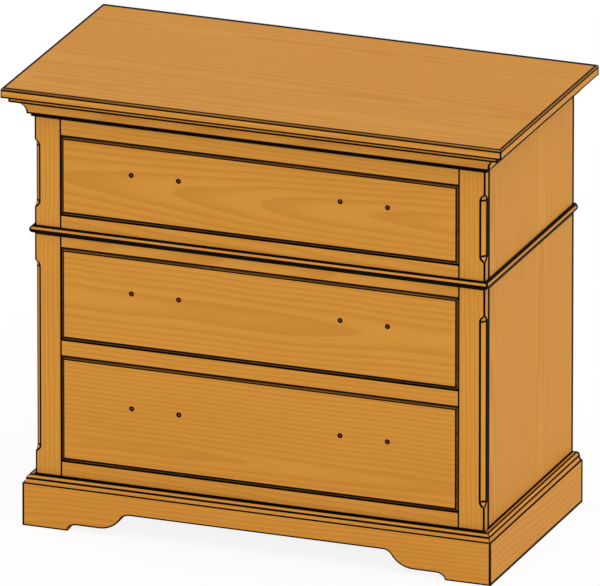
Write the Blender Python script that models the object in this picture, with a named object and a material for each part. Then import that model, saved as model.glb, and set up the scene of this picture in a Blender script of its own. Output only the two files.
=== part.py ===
"""Bachelor chest with three inset drawers.

A face-framed wooden case stands on a moulded plinth with scrolled bracket feet. Each drawer is a
dovetailed box behind an applied front, carried by a pair of full-extension steel slides.
Metres, +Z up, front towards -Y. The origin lies on the floor under the middle of the whole chest.
"""

import math

import bmesh
import bpy
from mathutils import Matrix, Vector

# Fits
SEAT_GAP = 0.0003  # between pieces that bear on each other
SMOOTH_ANGLE = 32  # degrees; sharper edges are drawn as edges
CUT_MARGIN = 0.004  # how far a cutter reaches past what it cuts
ARC_STEPS = 8  # facets in each quarter turn or scroll
HOLE_SIDES = 16

# Case
CASE_WIDTH = 0.8763
CASE_DEPTH = 0.46355  # from the face of the frame to the back
SIDE_THICKNESS = 0.01905
CASE_FOOT_CLEARANCE = 0.00635  # the case hangs this far above the floor inside the plinth
BACK_THICKNESS = 0.00635
BACK_RABBET = 0.009525
BACK_CLEARANCE = 0.0508  # floor to the lower edge of the back panel
CASE_BOTTOM_THICKNESS = 0.0127
CASE_BOTTOM_DROP = 0.00635  # below the upper edge of the bottom rail
REAR_RAIL_THICKNESS = 0.01905
REAR_RAIL_HEIGHT = 0.0635

# Top
TOP_THICKNESS = 0.01905
TOP_OVERHANG = 0.047625
TOP_EDGE_RADIUS = 0.003175

# Face frame
FRAME_THICKNESS = 0.01905
STILE_WIDTH = 0.0508
BOTTOM_RAIL_HEIGHT = 0.0762
BOTTOM_RAIL_SHOW = 0.0301625  # the part of the bottom rail seen above the plinth
LOWER_RAIL_HEIGHT = 0.03175
WAIST_RAIL_HEIGHT = 0.0635
TOP_RAIL_HEIGHT = 0.0762
BOTTOM_OPENING_HEIGHT = 0.2032
MIDDLE_OPENING_HEIGHT = 0.1778
TOP_OPENING_HEIGHT = 0.1524

# Stopped chamfers on the corners of the stiles
CHAMFER_LEG = 0.009525
CHAMFER_STOP_RADIUS = 0.0127
UPPER_CHAMFER_TOP_INSET = 0.0122
UPPER_CHAMFER_BOTTOM_INSET = 0.0107
LOWER_CHAMFER_TOP_INSET = 0.0289
LOWER_CHAMFER_BOTTOM_INSET = 0.0143

# Cove moulding under the top
COVE_PROJECTION = 0.0365125
COVE_FILLET = 0.009525
COVE_RADIUS = 0.0254
COVE_LIP = 0.0015875
COVE_FOOT_HEIGHT = 0.00635
COVE_FOOT_PROJECTION = 0.0047625

# Half-round bead at the waist
BEAD_RADIUS = 0.0079375

# Plinth
PLINTH_THICKNESS = 0.01905
PLINTH_FACE_HEIGHT = 0.08255
OGEE_HEIGHT = 0.0142875
OGEE_RUN = 0.0105
FOOT_FLAT = 0.0889
FOOT_STEP_RUN = 0.018
FOOT_STEP_RISE = 0.0127
FOOT_LEDGE = 0.0439
SCROLL_RUN = 0.05875
SCROLL_RISE = 0.03175
SCROLL_LOWER_RADIUS = 0.0508

# Drawers
DRAWER_GAP = 0.0015875  # round the drawer front
DRAWER_FRONT_THICKNESS = 0.01905
DRAWER_EDGE_RADIUS = 0.003175
PULL_HOLE_DIAMETER = 0.0055
PULL_BORE_SPACING = 0.092075
PULL_INSET = 0.18415  # side of the opening to the middle of a pull
PULL_RISE = 0.0174625  # above the middle of the drawer front
BOX_WALL = 0.0127
BOX_BOTTOM_CLEARANCE = 0.0127
BOX_TOP_CLEARANCE = 0.01905
DRAWER_BOTTOM_THICKNESS = 0.00635
GROOVE_DEPTH = 0.00635
GROOVE_RISE = 0.0095
DOVETAIL_PITCH = 0.036
DOVETAIL_LEAST = 2  # tails at a corner
DOVETAIL_PIN = 0.009
DOVETAIL_SLOPE = 1 / 7

# Drawer slides
SLIDE_THICKNESS = 0.0127
SLIDE_HEIGHT = 0.045
SLIDE_WALL = 0.0012
SLIDE_RACE = 0.003  # flange together with its row of balls
SLIDE_PLAY = 0.0004
SLIDE_WEB_PLAY = 0.0012  # from a middle member's flanges to the web of the runner
SLIDE_TRACK_FLANGE = 0.0095
SLIDE_SETBACK = 0.003175
SLIDE_REAR_ROOM = 0.028575
SLIDE_TAB_REACH = 0.0254  # the tab that fixes a track behind its stile
SLIDE_TAB_HEIGHT = 0.030
POST_DEPTH = 0.0508  # the rear posts that carry the tracks

# Levels and planes that follow from the sizes above
plinth_height = PLINTH_FACE_HEIGHT + OGEE_HEIGHT
bottom_rail_top = plinth_height + BOTTOM_RAIL_SHOW
bottom_opening = (bottom_rail_top, bottom_rail_top + BOTTOM_OPENING_HEIGHT)
middle_opening_low = bottom_opening[1] + LOWER_RAIL_HEIGHT
middle_opening = (middle_opening_low, middle_opening_low + MIDDLE_OPENING_HEIGHT)
top_opening_low = middle_opening[1] + WAIST_RAIL_HEIGHT
top_opening = (top_opening_low, top_opening_low + TOP_OPENING_HEIGHT)
case_top = top_opening[1] + TOP_RAIL_HEIGHT

half_case = CASE_WIDTH / 2
half_inside = half_case - SIDE_THICKNESS
half_opening = half_case - STILE_WIDTH
back_y = (CASE_DEPTH + TOP_OVERHANG) / 2
front_y = back_y - CASE_DEPTH
frame_back_y = front_y + FRAME_THICKNESS
panel_front_y = back_y - BACK_THICKNESS
rear_rail_y = panel_front_y - SEAT_GAP - REAR_RAIL_THICKNESS
slide_front_y = frame_back_y + SLIDE_SETBACK
slide_rear_y = panel_front_y - SLIDE_REAR_ROOM
box_front_y = front_y + DRAWER_FRONT_THICKNESS + SEAT_GAP
half_box = half_opening - SLIDE_THICKNESS - SEAT_GAP


def finish(name, colour, roughness, metallic=0.0):
    """A plain Principled material."""
    material = bpy.data.materials.new(name)
    material.use_nodes = True
    shader = material.node_tree.nodes["Principled BSDF"]
    shader.inputs["Base Color"].default_value = (*colour, 1.0)
    shader.inputs["Roughness"].default_value = roughness
    shader.inputs["Metallic"].default_value = metallic
    material.diffuse_color = (*colour, 1.0)
    return material


def add_loft(shape, first, second):
    """Joins two loops of points that match one to one into a closed body."""
    near = [shape.verts.new(point) for point in first]
    far = [shape.verts.new(point) for point in second]
    shape.faces.new(near)
    shape.faces.new(far)
    for index in range(len(near)):
        after = (index + 1) % len(near)
        shape.faces.new((near[index], near[after], far[after], far[index]))


def add_prism(shape, outline, axis, low, high):
    """Pushes an outline along X, Y or Z. Its points hold the other two coordinates in order."""

    def placed(point, level):
        along = list(point)
        along.insert("XYZ".index(axis), level)
        return along

    add_loft(shape, [placed(p, low) for p in outline], [placed(p, high) for p in outline])


def add_block(shape, low, high):
    """A box between two corners."""
    outline = [(low[0], low[1]), (high[0], low[1]), (high[0], high[1]), (low[0], high[1])]
    add_prism(shape, outline, "Z", low[2], high[2])


def add_bore(shape, start, radius, length):
    """A round bar along +Y, for cutting a hole."""
    outline = []
    for side in range(HOLE_SIDES):
        angle = math.tau * side / HOLE_SIDES
        outline.append((start[0] + radius * math.cos(angle), start[2] + radius * math.sin(angle)))
    add_prism(shape, outline, "Y", start[1], start[1] + length)


def made(name, shape, material, carrier=None):
    """Turns a shape into a named object, which moves with its carrier if it has one."""
    bmesh.ops.recalc_face_normals(shape, faces=shape.faces)
    mesh = bpy.data.meshes.new(name)
    shape.to_mesh(mesh)
    shape.free()
    mesh.shade_smooth()
    mesh.set_sharp_from_angle(angle=math.radians(SMOOTH_ANGLE))
    piece = bpy.data.objects.new(name, mesh)
    bpy.context.scene.collection.objects.link(piece)
    if material:
        mesh.materials.append(material)
    if carrier:
        piece.parent = carrier
        piece.matrix_parent_inverse = Matrix.Translation(-carrier.location)
    return piece


def block_piece(name, low, high, material, carrier=None):
    """A board with square edges."""
    shape = bmesh.new()
    add_block(shape, low, high)
    return made(name, shape, material, carrier)


def cutter(name, shape):
    """A helper that only shapes other pieces."""
    helper = made(name, shape, None)
    helper.hide_render = True
    helper.display_type = "WIRE"
    return helper


def combine(piece, helper, operation):
    """Gives a piece a Boolean with a helper's shape."""
    modifier = piece.modifiers.new(helper.name, "BOOLEAN")
    modifier.operation = operation
    modifier.solver = "EXACT"
    modifier.object = helper


def cut(piece, helper):
    """Takes a helper's shape out of a piece."""
    combine(piece, helper, "DIFFERENCE")


def weld(piece, helper):
    """Adds a helper's shape to a piece."""
    combine(piece, helper, "UNION")


def arc(centre, radii, start, end, steps=ARC_STEPS):
    """Points on an ellipse between two angles in degrees, both ends included."""
    points = []
    for step in range(steps + 1):
        angle = math.radians(start + (end - start) * step / steps)
        points.append((centre[0] + radii[0] * math.cos(angle), centre[1] + radii[1] * math.sin(angle)))
    return points


def add_front_run(shape, profile):
    """A moulding across the front, mitred at both ends. The profile holds (projection, height)."""
    left = [(-half_case - out, front_y - out, height) for out, height in profile]
    right = [(half_case + out, front_y - out, height) for out, height in profile]
    add_loft(shape, left, right)


def add_side_run(shape, profile, side):
    """A moulding along a side, mitred at the front and square at the back."""
    front = [(side * (half_case + out), front_y - out + SEAT_GAP, height) for out, height in profile]
    rear = [(side * (half_case + out), back_y, height) for out, height in profile]
    add_loft(shape, front, rear)


def moulding(name, profile, material):
    """The three mitred runs of a moulding that goes round the front and sides."""
    shape = bmesh.new()
    add_front_run(shape, profile)
    front = made(name + "_front", shape, material)
    for side, hand in ((-1, "left"), (1, "right")):
        shape = bmesh.new()
        add_side_run(shape, profile, side)
        made(f"{name}_{hand}", shape, material)
    return front


def cove_profile():
    """Fillet, deep cove, lip and foot, from the underside of the top downwards."""
    cove_top = case_top - COVE_FILLET
    cove_end = cove_top - COVE_RADIUS
    foot_top = cove_end - COVE_LIP
    foot_end = foot_top - COVE_FOOT_HEIGHT
    profile = [(SEAT_GAP, case_top), (COVE_PROJECTION, case_top)]
    profile += arc((COVE_PROJECTION, cove_end), (COVE_RADIUS, COVE_RADIUS), 90, 180)
    profile += [(COVE_PROJECTION - COVE_RADIUS, foot_top), (COVE_FOOT_PROJECTION, foot_top)]
    profile += [(COVE_FOOT_PROJECTION, foot_end), (SEAT_GAP, foot_end)]
    return profile


def bead_profile():
    """A half round on the middle of the waist rail."""
    middle = (middle_opening[1] + top_opening[0]) / 2
    return arc((SEAT_GAP, middle), (BEAD_RADIUS - SEAT_GAP, BEAD_RADIUS), -90, 90, 2 * ARC_STEPS)


def plinth_profile():
    """A flat board with a hollow and a round worked on its upper edge."""
    shoulder = PLINTH_THICKNESS - OGEE_RUN / 2
    half_rise = OGEE_HEIGHT / 2
    profile = [(SEAT_GAP, 0), (PLINTH_THICKNESS, 0)]
    profile += arc((PLINTH_THICKNESS, PLINTH_FACE_HEIGHT + half_rise), (OGEE_RUN / 2, half_rise), 270, 180)
    profile += arc((shoulder - OGEE_RUN / 2, plinth_height - half_rise), (OGEE_RUN / 2, half_rise), 0, 90)[1:]
    profile.append((SEAT_GAP, plinth_height))
    return profile


def foot_scroll():
    """The lower edge of the plinth from a foot to the arch, as (distance from the corner, height)."""
    step_end = FOOT_FLAT + FOOT_STEP_RUN
    scroll_start = step_end + FOOT_LEDGE
    arch_start = scroll_start + SCROLL_RUN
    arch_rise = FOOT_STEP_RISE + SCROLL_RISE
    turn = 2 * math.degrees(math.atan2(SCROLL_RISE, SCROLL_RUN))
    upper_radius = SCROLL_RUN / math.sin(math.radians(turn)) - SCROLL_LOWER_RADIUS
    lower_centre = (scroll_start, FOOT_STEP_RISE + SCROLL_LOWER_RADIUS)
    upper_centre = (arch_start, arch_rise - upper_radius)
    points = [(FOOT_FLAT, -CUT_MARGIN)]
    points += arc((step_end, 0), (FOOT_STEP_RUN, FOOT_STEP_RISE), 180, 90)
    points += arc(lower_centre, (SCROLL_LOWER_RADIUS, SCROLL_LOWER_RADIUS), 270, 270 + turn)
    points += arc(upper_centre, (upper_radius, upper_radius), 90 + turn, 90)[1:]
    return points


def plinth_scroll_cutter():
    """The arch between the two bracket feet."""
    half_plinth = half_case + PLINTH_THICKNESS
    right = [(half_plinth - along, height) for along, height in foot_scroll()]
    left = [(-across, height) for across, height in reversed(right)]
    shape = bmesh.new()
    add_prism(shape, right + left, "Y", front_y - PLINTH_THICKNESS - CUT_MARGIN, front_y + CUT_MARGIN)
    return cutter("plinth_scroll_cutter", shape)


def chamfer_cutter(name, side, low, high):
    """A flat chamfer along a stile's outer corner that sweeps out in a scoop at both ends."""
    depth = CHAMFER_LEG / math.sqrt(2)
    radius = CHAMFER_STOP_RADIUS
    stop = math.sqrt(radius**2 - (radius - depth) ** 2)
    spill = CUT_MARGIN / 2
    swing = math.degrees(math.acos(1 - (depth + spill) / radius))
    lower = arc((radius - depth, low + stop), (radius, radius), 180 + swing, 180)
    upper = arc((radius - depth, high - stop), (radius, radius), 180, 180 - swing)
    outward = Vector((side, -1, 0)).normalized()
    along = Vector((side, 1, 0)).normalized()
    corner = Vector((side * half_case, front_y, 0))

    def slice_at(offset):
        return [corner + outward * out + along * offset + Vector((0, 0, z)) for out, z in lower + upper]

    shape = bmesh.new()
    add_loft(shape, slice_at(-CHAMFER_LEG - CUT_MARGIN), slice_at(CHAMFER_LEG + CUT_MARGIN))
    return cutter(name, shape)


def build_case(wood, rear_wood, sheet):
    """Side panels, back, bottom, rear rails and the posts that carry the slides."""
    side_front_y = frame_back_y + SEAT_GAP
    rabbet_y = panel_front_y - SEAT_GAP
    rabbet_x = half_inside + BACK_RABBET
    for side, hand in ((-1, "left"), (1, "right")):
        outline = [(half_inside, side_front_y), (half_case, side_front_y), (half_case, back_y)]
        outline += [(rabbet_x, back_y), (rabbet_x, rabbet_y), (half_inside, rabbet_y)]
        shape = bmesh.new()
        add_prism(shape, [(side * x, y) for x, y in outline], "Z", CASE_FOOT_CLEARANCE, case_top)
        made("side_panel_" + hand, shape, wood)

    half_back = rabbet_x - SEAT_GAP
    block_piece(
        "back_panel", (-half_back, panel_front_y, BACK_CLEARANCE), (half_back, back_y, case_top), sheet
    )
    half_rail = half_inside - SEAT_GAP
    rear_rail_end = panel_front_y - SEAT_GAP
    block_piece(
        "rear_top_rail",
        (-half_rail, rear_rail_y, case_top - REAR_RAIL_HEIGHT),
        (half_rail, rear_rail_end, case_top),
        rear_wood,
    )
    bottom_high = bottom_rail_top - CASE_BOTTOM_DROP
    bottom_low = bottom_high - CASE_BOTTOM_THICKNESS
    block_piece(
        "case_bottom",
        (-half_rail, frame_back_y + SEAT_GAP, bottom_low),
        (half_rail, rear_rail_end, bottom_high),
        sheet,
    )
    block_piece(
        "rear_bottom_rail",
        (-half_rail, rear_rail_y, bottom_low - SEAT_GAP - REAR_RAIL_HEIGHT),
        (half_rail, rear_rail_end, bottom_low - SEAT_GAP),
        rear_wood,
    )
    for side, hand in ((-1, "left"), (1, "right")):
        ends = sorted((side * (half_opening + SEAT_GAP), side * half_rail))
        block_piece(
            "rear_post_" + hand,
            (ends[0], slide_rear_y - POST_DEPTH, bottom_high + SEAT_GAP),
            (ends[1], slide_rear_y, case_top),
            rear_wood,
        )


def build_frame(wood):
    """Stiles with stopped chamfers, and the four rails between them."""
    for side, hand in ((-1, "left"), (1, "right")):
        inner, outer = sorted((side * half_opening, side * half_case))
        stile = block_piece(
            "stile_" + hand, (inner, front_y, CASE_FOOT_CLEARANCE), (outer, frame_back_y, case_top), wood
        )
        upper_low = top_opening[0] + UPPER_CHAMFER_BOTTOM_INSET
        upper_high = top_opening[1] - UPPER_CHAMFER_TOP_INSET
        cut(stile, chamfer_cutter(f"upper_chamfer_{hand}_cutter", side, upper_low, upper_high))
        lower_low = bottom_opening[0] + LOWER_CHAMFER_BOTTOM_INSET
        lower_high = middle_opening[1] - LOWER_CHAMFER_TOP_INSET
        cut(stile, chamfer_cutter(f"lower_chamfer_{hand}_cutter", side, lower_low, lower_high))

    half_rail = half_opening - SEAT_GAP
    rails = (
        ("bottom_rail", bottom_rail_top - BOTTOM_RAIL_HEIGHT, bottom_rail_top),
        ("lower_rail", bottom_opening[1], middle_opening[0]),
        ("waist_rail", middle_opening[1], top_opening[0]),
        ("top_rail", top_opening[1], case_top),
    )
    for name, low, high in rails:
        block_piece(name, (-half_rail, front_y, low), (half_rail, frame_back_y, high), wood)


def build_top(wood):
    """The top board, with its upper edge eased at the front and sides."""
    under = case_top + SEAT_GAP
    over = case_top + TOP_THICKNESS
    half_top = half_case + TOP_OVERHANG
    shape = bmesh.new()
    add_block(shape, (-half_top, front_y - TOP_OVERHANG, under), (half_top, back_y, over))
    eased = []
    for edge in shape.edges:
        middle = (edge.verts[0].co + edge.verts[1].co) / 2
        if min(vert.co.z for vert in edge.verts) > (under + over) / 2 and middle.y < back_y - TOP_EDGE_RADIUS:
            eased.append(edge)
    bmesh.ops.bevel(
        shape, geom=eased, offset=TOP_EDGE_RADIUS, segments=ARC_STEPS // 2, profile=0.5, affect="EDGES"
    )
    made("top_board", shape, wood)


def tail_centres(low, high):
    """Heights of the tails at a drawer's corner, with the spacing between them."""
    count = max(DOVETAIL_LEAST, round((high - low) / DOVETAIL_PITCH))
    pitch = (high - low) / count
    return [low + pitch * (index + 0.5) for index in range(count)], pitch


def tail_board_outline(front, rear, low, high):
    """A drawer side seen from the side, with tails at both ends, as (y, z) points."""
    centres, pitch = tail_centres(low, high)
    wide = (pitch - DOVETAIL_PIN) / 2
    narrow = wide - BOX_WALL * DOVETAIL_SLOPE
    front_end = [(front + BOX_WALL, low)]
    for centre in centres:
        front_end += [(front + BOX_WALL, centre - narrow), (front, centre - wide)]
        front_end += [(front, centre + wide), (front + BOX_WALL, centre + narrow)]
    front_end.append((front + BOX_WALL, high))
    rear_end = [(front + rear - y, z) for y, z in reversed(front_end)]
    return front_end + rear_end


def socket_cutter(name, end, inward, low, high):
    """The sockets that a pin board's two ends need for the tails. Inward is the way to its inner face."""
    centres, pitch = tail_centres(low, high)
    wide = (pitch - DOVETAIL_PIN) / 2 + SEAT_GAP
    outer = wide + CUT_MARGIN * DOVETAIL_SLOPE
    inner = wide - (BOX_WALL + CUT_MARGIN) * DOVETAIL_SLOPE
    outer_y = end - inward * CUT_MARGIN
    inner_y = end + inward * (BOX_WALL + CUT_MARGIN)
    shape = bmesh.new()
    for centre in centres:
        outline = [(outer_y, centre - outer), (outer_y, centre + outer)]
        outline += [(inner_y, centre + inner), (inner_y, centre - inner)]
        for side in (-1, 1):
            ends = sorted((side * (half_box - BOX_WALL - SEAT_GAP), side * (half_box + CUT_MARGIN)))
            add_prism(shape, outline, "X", *ends)
    return cutter(name, shape)


def carrier_at(name, height):
    """An empty on the line along which a drawer or its slides move."""
    carrier = bpy.data.objects.new(name, None)
    carrier.location = (0, front_y, height)
    bpy.context.scene.collection.objects.link(carrier)
    return carrier


def build_drawer(name, opening, wood, box_wood, sheet):
    """A drawer front with its pull holes, on a dovetailed box with a grooved-in bottom."""
    low, high = opening
    middle = (low + high) / 2
    carrier = carrier_at(name + "_drawer", middle)
    half_front = half_opening - DRAWER_GAP
    shape = bmesh.new()
    front_back_y = front_y + DRAWER_FRONT_THICKNESS
    add_block(
        shape, (-half_front, front_y, low + DRAWER_GAP), (half_front, front_back_y, high - DRAWER_GAP)
    )
    eased = [edge for edge in shape.edges if all(vert.co.y < front_y + SEAT_GAP for vert in edge.verts)]
    bmesh.ops.bevel(
        shape, geom=eased, offset=DRAWER_EDGE_RADIUS, segments=ARC_STEPS // 2, profile=0.5, affect="EDGES"
    )
    front = made(name + "_drawer_front", shape, wood, carrier)

    box_low = low + BOX_BOTTOM_CLEARANCE
    box_high = high - BOX_TOP_CLEARANCE
    board = BOX_WALL - SEAT_GAP
    box_front = block_piece(
        name + "_box_front",
        (-half_box, box_front_y, box_low),
        (half_box, box_front_y + board, box_high),
        box_wood,
        carrier,
    )
    box_back = block_piece(
        name + "_box_back",
        (-half_box, slide_rear_y - board, box_low),
        (half_box, slide_rear_y, box_high),
        box_wood,
        carrier,
    )
    cut(box_front, socket_cutter(name + "_front_socket_cutter", box_front_y, 1, box_low, box_high))
    cut(box_back, socket_cutter(name + "_back_socket_cutter", slide_rear_y, -1, box_low, box_high))
    sides = []
    for side, hand in ((-1, "left"), (1, "right")):
        shape = bmesh.new()
        outline = tail_board_outline(box_front_y, slide_rear_y, box_low, box_high)
        ends = sorted((side * (half_box - BOX_WALL), side * half_box))
        add_prism(shape, outline, "X", *ends)
        sides.append(made(f"{name}_box_{hand}", shape, box_wood, carrier))

    reach = GROOVE_DEPTH - SEAT_GAP
    half_bottom = half_box - BOX_WALL + reach
    bottom_front = box_front_y + BOX_WALL - reach
    bottom_rear = slide_rear_y - BOX_WALL + reach
    bottom_low = box_low + GROOVE_RISE
    bottom_high = bottom_low + DRAWER_BOTTOM_THICKNESS
    block_piece(
        name + "_drawer_bottom",
        (-half_bottom, bottom_front, bottom_low),
        (half_bottom, bottom_rear, bottom_high),
        sheet,
        carrier,
    )
    shape = bmesh.new()
    add_block(
        shape,
        (-half_bottom - SEAT_GAP, bottom_front - SEAT_GAP, bottom_low - SEAT_GAP),
        (half_bottom + SEAT_GAP, bottom_rear + SEAT_GAP, bottom_high + SEAT_GAP),
    )
    groove_cutter = cutter(name + "_groove_cutter", shape)
    for grooved in (box_front, box_back, *sides):
        cut(grooved, groove_cutter)

    inner_y = box_front_y + board
    bores = bmesh.new()
    bore_start_y = front_y - CUT_MARGIN
    bore_length = inner_y + CUT_MARGIN - bore_start_y
    for side in (-1, 1):
        for offset in (-PULL_BORE_SPACING / 2, PULL_BORE_SPACING / 2):
            start = (side * (half_opening - PULL_INSET) + offset, bore_start_y, middle + PULL_RISE)
            add_bore(bores, start, PULL_HOLE_DIAMETER / 2, bore_length)
    pull_cutter = cutter(name + "_pull_cutter", bores)
    cut(front, pull_cutter)
    cut(box_front, pull_cutter)
    return carrier, (box_low + box_high) / 2


def channel(side, web_from, web_to, flange_end, half_height, flange):
    """A slide member's section as (x, z) points, with x measured from the edge of the opening inwards."""
    outline = [(web_from, -half_height), (flange_end, -half_height)]
    outline += [(flange_end, flange - half_height), (web_to, flange - half_height)]
    outline += [(web_to, half_height - flange), (flange_end, half_height - flange)]
    outline += [(flange_end, half_height), (web_from, half_height)]
    return [(side * (half_opening - inward), height) for inward, height in outline]


def build_slides(name, drawer, middle, steel):
    """A pair of slides: tracks on the case, middle members, and runners on the drawer box."""
    track_half = SLIDE_HEIGHT / 2
    middle_half = track_half - SLIDE_WALL - SLIDE_PLAY
    runner_half = middle_half - SLIDE_RACE - SLIDE_PLAY
    middle_web = SLIDE_WALL + SLIDE_PLAY
    runner_web = SLIDE_THICKNESS - SLIDE_WALL
    runner_flange_end = middle_web + SLIDE_WALL + SLIDE_PLAY
    middle_flange_end = runner_web - SLIDE_WEB_PLAY
    tab_front_y = frame_back_y + SEAT_GAP
    middle_carrier = carrier_at(name + "_slide_middles", middle)

    def member(label, section, front, carrier):
        shape = bmesh.new()
        add_prism(shape, [(x, middle + z) for x, z in section], "Y", front, slide_rear_y)
        return made(label, shape, steel, carrier)

    for side, hand in ((-1, "left"), (1, "right")):
        section = channel(side, 0, SLIDE_WALL, SLIDE_TRACK_FLANGE, track_half, SLIDE_WALL)
        track = member(f"{name}_slide_track_{hand}", section, tab_front_y + SLIDE_WALL / 2, None)
        tab_ends = sorted((side * (half_opening - SLIDE_WALL / 2), side * (half_opening + SLIDE_TAB_REACH)))
        shape = bmesh.new()
        add_block(
            shape,
            (tab_ends[0], tab_front_y, middle - SLIDE_TAB_HEIGHT / 2),
            (tab_ends[1], tab_front_y + SLIDE_WALL, middle + SLIDE_TAB_HEIGHT / 2),
        )
        weld(track, cutter(f"{name}_slide_tab_{hand}", shape))
        section = channel(
            side, middle_web, middle_web + SLIDE_WALL, middle_flange_end, middle_half, SLIDE_RACE
        )
        member(f"{name}_slide_middle_{hand}", section, slide_front_y, middle_carrier)
        section = channel(side, SLIDE_THICKNESS, runner_web, runner_flange_end, runner_half, SLIDE_RACE)
        member(f"{name}_slide_runner_{hand}", section, slide_front_y, drawer)


for leftover in list(bpy.data.objects):
    bpy.data.objects.remove(leftover)

honey_wood = finish("honey_wood", (0.604, 0.266, 0.045), 0.42)
drawer_wood = finish("drawer_wood", (0.62, 0.42, 0.22), 0.55)
plywood = finish("plywood", (0.58, 0.37, 0.18), 0.6)
slide_steel = finish("slide_steel", (0.62, 0.63, 0.64), 0.32, 1.0)

build_case(honey_wood, drawer_wood, plywood)
build_frame(honey_wood)
build_top(honey_wood)
moulding("cove_moulding", cove_profile(), honey_wood)
moulding("waist_bead", bead_profile(), honey_wood)
cut(moulding("plinth", plinth_profile(), honey_wood), plinth_scroll_cutter())

for drawer_name, drawer_opening in (
    ("top", top_opening),
    ("middle", middle_opening),
    ("bottom", bottom_opening),
):
    drawer_carrier, slide_height = build_drawer(
        drawer_name, drawer_opening, honey_wood, drawer_wood, plywood
    )
    build_slides(drawer_name, drawer_carrier, slide_height, slide_steel)
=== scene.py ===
"""Looks of a bachelor chest: honey-stained boards with dark glazed arrises, on a plain pale floor."""

import math

import bmesh
import bpy
import numpy as np
from mathutils import Euler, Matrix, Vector


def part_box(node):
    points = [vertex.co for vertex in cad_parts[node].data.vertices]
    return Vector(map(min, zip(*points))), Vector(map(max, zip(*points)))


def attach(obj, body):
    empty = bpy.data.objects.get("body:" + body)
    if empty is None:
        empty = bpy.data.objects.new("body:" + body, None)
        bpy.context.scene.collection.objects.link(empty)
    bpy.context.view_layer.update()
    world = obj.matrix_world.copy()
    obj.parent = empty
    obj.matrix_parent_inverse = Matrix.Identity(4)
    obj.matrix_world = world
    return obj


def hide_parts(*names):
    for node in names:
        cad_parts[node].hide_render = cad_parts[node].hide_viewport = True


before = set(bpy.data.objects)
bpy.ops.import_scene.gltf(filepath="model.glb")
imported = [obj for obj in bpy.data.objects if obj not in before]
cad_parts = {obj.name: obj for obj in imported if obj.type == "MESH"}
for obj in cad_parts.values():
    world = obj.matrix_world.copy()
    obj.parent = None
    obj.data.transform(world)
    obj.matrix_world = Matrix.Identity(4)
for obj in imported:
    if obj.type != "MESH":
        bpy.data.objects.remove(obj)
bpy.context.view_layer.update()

# Side panels. Each is a solid board glued up from upright staves, stained honey and lacquered satin.
# The maker eased every arris and wiped a dark glaze over the piece, which stayed on in thin lines there.
# They stand behind the stiles and carry the rabbets for the back.


class Value:
    """A number, colour or vector in a node tree, used in sums as a plain number is."""

    def __init__(self, tree, socket=None):
        self.tree = tree
        self.socket = socket

    def node(self, kind, settings, inputs, output=0):
        """Adds a node: its settings come first, then the values or links of its sockets."""
        node = self.tree.nodes.new(kind)
        for name, setting in settings.items():
            setattr(node, name, setting)
        for key, value in inputs.items():
            if isinstance(value, Value):
                self.tree.links.new(value.socket, node.inputs[key])
            else:
                node.inputs[key].default_value = value
        return Value(self.tree, node.outputs[output] if node.outputs else None)

    def math(self, operation, first, second=0.0):
        return self.node("ShaderNodeMath", {"operation": operation}, {0: first, 1: second})

    def __add__(self, other):
        return self.math("ADD", self, other)

    def __sub__(self, other):
        return self.math("SUBTRACT", self, other)

    def __mul__(self, other):
        return self.math("MULTIPLY", self, other)

    def __truediv__(self, other):
        return self.math("DIVIDE", self, other)

    def __radd__(self, other):
        return self.math("ADD", other, self)

    def __rsub__(self, other):
        return self.math("SUBTRACT", other, self)

    def __rmul__(self, other):
        return self.math("MULTIPLY", other, self)

    def __rtruediv__(self, other):
        return self.math("DIVIDE", other, self)

    def step(self, low, high):
        """Rises smoothly from 0 at low to 1 at high."""
        return self.node(
            "ShaderNodeMapRange",
            {"interpolation_type": "SMOOTHSTEP"},
            {"Value": self, "From Min": low, "From Max": high},
        )

    def blend(self, first, second):
        """Mixes two colours, which are sockets 6 and 7, with this value as the share of the second."""
        return self.node("ShaderNodeMix", {"data_type": "RGBA"}, {0: self, 6: first, 7: second}, 2)

    def parts(self):
        """The three parts of a vector or colour."""
        split = self.node("ShaderNodeSeparateXYZ", {}, {0: self})
        return [Value(self.tree, output) for output in split.socket.node.outputs]

    def joined(self, x, y, z):
        return self.node("ShaderNodeCombineXYZ", {}, {0: x, 1: y, 2: z})

    def attribute(self, name, output="Fac"):
        return self.node("ShaderNodeAttribute", {"attribute_name": name}, {}, output)

    def noise(self, x, y, z, detail, roughness):
        """Noise that varies once or so in each whole step of the given coordinates."""
        inputs = {"Vector": self.joined(x, y, z), "Scale": 1.0, "Detail": detail, "Roughness": roughness}
        return self.node("ShaderNodeTexNoise", {}, inputs)


def finish(name, roughness, specular, metallic=0.0):
    """A new material with its constant values set, its shader, and its node tree to build on."""
    material = bpy.data.materials.new(name)
    material.use_nodes = True
    shader = material.node_tree.nodes["Principled BSDF"]
    shader.inputs["Roughness"].default_value = roughness
    shader.inputs["Specular IOR Level"].default_value = specular
    shader.inputs["Metallic"].default_value = metallic
    return material, shader, Value(material.node_tree)


def coat(shader, colour, roughness, relief, strength, depth):
    """Feeds a material its colour, its roughness and a relief, which has a strength and a depth in metres."""
    bump = relief.node("ShaderNodeBump", {}, {"Strength": strength, "Distance": depth, "Height": relief})
    for name, value in (("Base Color", colour), ("Roughness", roughness), ("Normal", bump)):
        value.tree.links.new(value.socket, shader.inputs[name])


def streaks(along, across, depth, long_rate, cross_rate, detail=2.0, roughness=0.5):
    """Noise drawn out along a board, which varies at the given rates in a metre along it and across it."""
    return along.noise(along * long_rate, across * cross_rate, depth * cross_rate, detail, roughness)


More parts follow.
